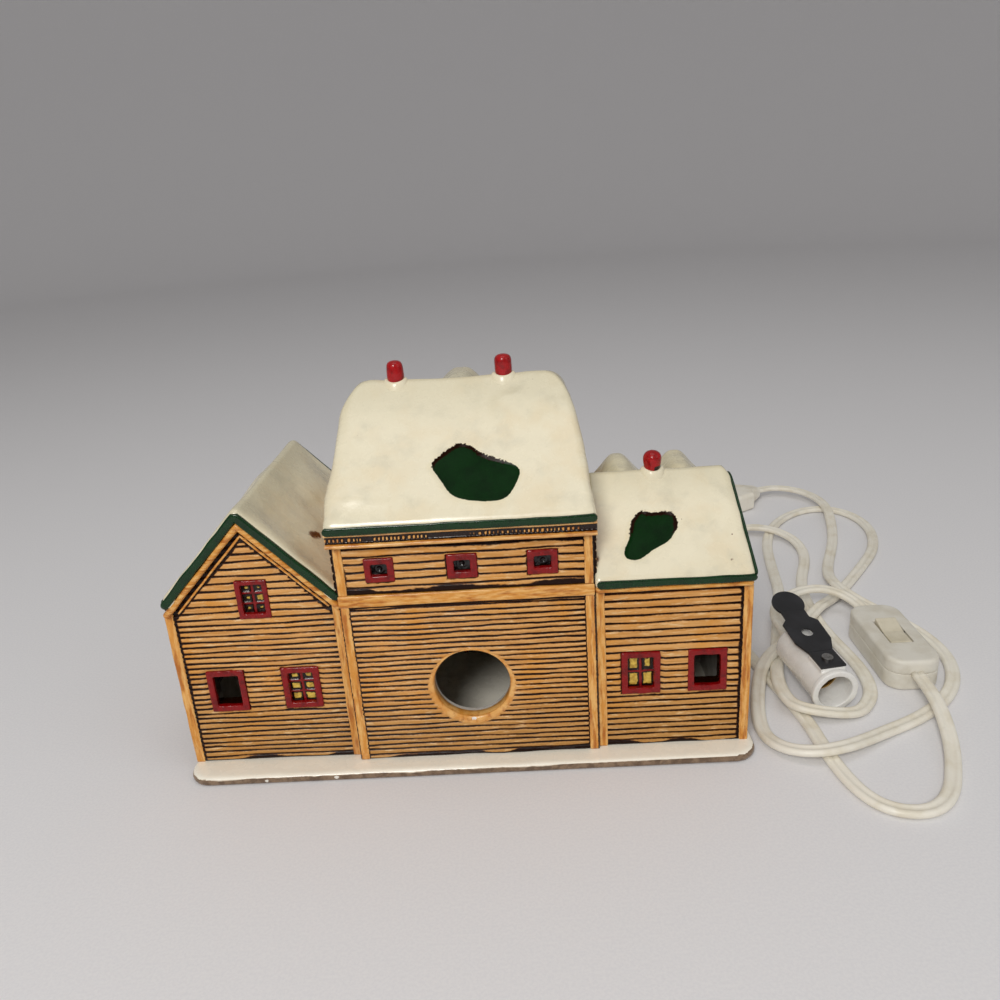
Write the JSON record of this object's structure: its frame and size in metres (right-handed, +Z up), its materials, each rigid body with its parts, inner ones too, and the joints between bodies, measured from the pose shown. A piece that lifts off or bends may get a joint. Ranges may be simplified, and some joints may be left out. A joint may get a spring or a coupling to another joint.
{
  "type": "christmas village house",
  "caption": "Lighted ceramic village house with snowy roofs and clapboard walls, a round lamp hole in its back, and a clip-in lampholder on a flat cord with a rocker switch and a plug.",
  "frame": {"origin": "under the middle of the base slab, on the surface that the house stands on", "axes": "+Z up, +X along the house with the low wing to the right as seen from its back, the lamp hole faces -Y"},
  "size_m": [0.3219, 0.2932, 0.1415],
  "materials": {
    "snow_glaze": "glossy cream glaze with stained hollows",
    "clapboard_glaze": "tan glaze with dark stained board lines",
    "trim_glaze": "orange-tan glaze with dark stain at the edges",
    "red_glaze": "dark red glossy glaze",
    "pane_glaze": "yellow painted panes",
    "green_glaze": "dark green glossy glaze",
    "holder_plastic": "off-white moulded",
    "contact_brass": "bright",
    "clip_black": "black oxide spring steel",
    "rivet_steel": "plain",
    "cord_sheath": "off-white flexible sheath",
    "switch_plastic": "off-white moulded",
    "rocker_plastic": "off-white moulded"
  },
  "bodies": {
    "house": {"base_slab": "snow_glaze", "beams": "trim_glaze", "centre_contact": "contact_brass", "chimney_pot_left": "red_glaze", "chimney_pot_middle": "red_glaze", "chimney_pot_right": "red_glaze", "clip_foot": "clip_black", "clip_rivet": "rivet_steel", "contact_insulator": "holder_plastic", "corner_posts": "trim_glaze", "door_frame": "red_glaze", "dormer_roofs": "snow_glaze", "dormer_walls": "clapboard_glaze", "eave_fascias": "trim_glaze", "front_door": "green_glaze", "front_gable_roof": "snow_glaze", "front_gable_wall": "clapboard_glaze", "front_step": "snow_glaze", "front_window_frames": "red_glaze", "front_window_sashes": "pane_glaze", "lamp_cord": "cord_sheath", "lampholder_sleeve": "holder_plastic", "left_back_wall": "clapboard_glaze", "left_front_wall": "clapboard_glaze", "left_gable_window_frame": "red_glaze", "left_gable_window_sash": "pane_glaze", "left_open_window_frame": "red_glaze", "left_pane_window_frame": "red_glaze", "left_pane_window_sash": "pane_glaze", "left_roof": "snow_glaze", "left_side_wall": "clapboard_glaze", "main_back_wall": "clapboard_glaze", "main_cord": "cord_sheath", "main_front_wall": "clapboard_glaze", "main_left_wall": "clapboard_glaze", "main_right_wall": "clapboard_glaze", "main_roof": "snow_glaze", "plug_blades": "contact_brass", "plug_body": "cord_sheath", "rake_boards": "trim_glaze", "right_back_wall": "clapboard_glaze", "right_end_wall": "clapboard_glaze", "right_front_wall": "clapboard_glaze", "right_open_window_frame": "red_glaze", "right_pane_window_frame": "red_glaze", "right_pane_window_sash": "pane_glaze", "right_roof": "snow_glaze", "rocker_pin": "rivet_steel", "screw_shell": "contact_brass", "side_window_frames": "red_glaze", "side_window_sashes": "pane_glaze", "snow_collars": "snow_glaze", "switch_base": "switch_plastic", "switch_cover": "switch_plastic", "upper_left_window_frame": "red_glaze", "upper_middle_window_frame": "red_glaze", "upper_right_window_frame": "red_glaze"},
    "clip_spring": {"clip_arm": "clip_black"},
    "rocker": {"switch_rocker": "rocker_plastic"}
  },
  "joints": [
    {"name": "clip_squeeze", "type": "hinge", "parent": "house", "child": "clip_spring", "pos_m": [0.13598, -0.00915, 0.01944], "axis": [0.9861, 0.1661, 0], "range_deg": [-6.5, 0], "stiffness_Nm_per_rad": 0.3},
    {"name": "switch_rock", "type": "hinge", "parent": "house", "child": "rocker", "pos_m": [0.174, 0.014, 0.0119], "axis": [1, 0, 0], "range_deg": [-14, 0]}
  ]
}
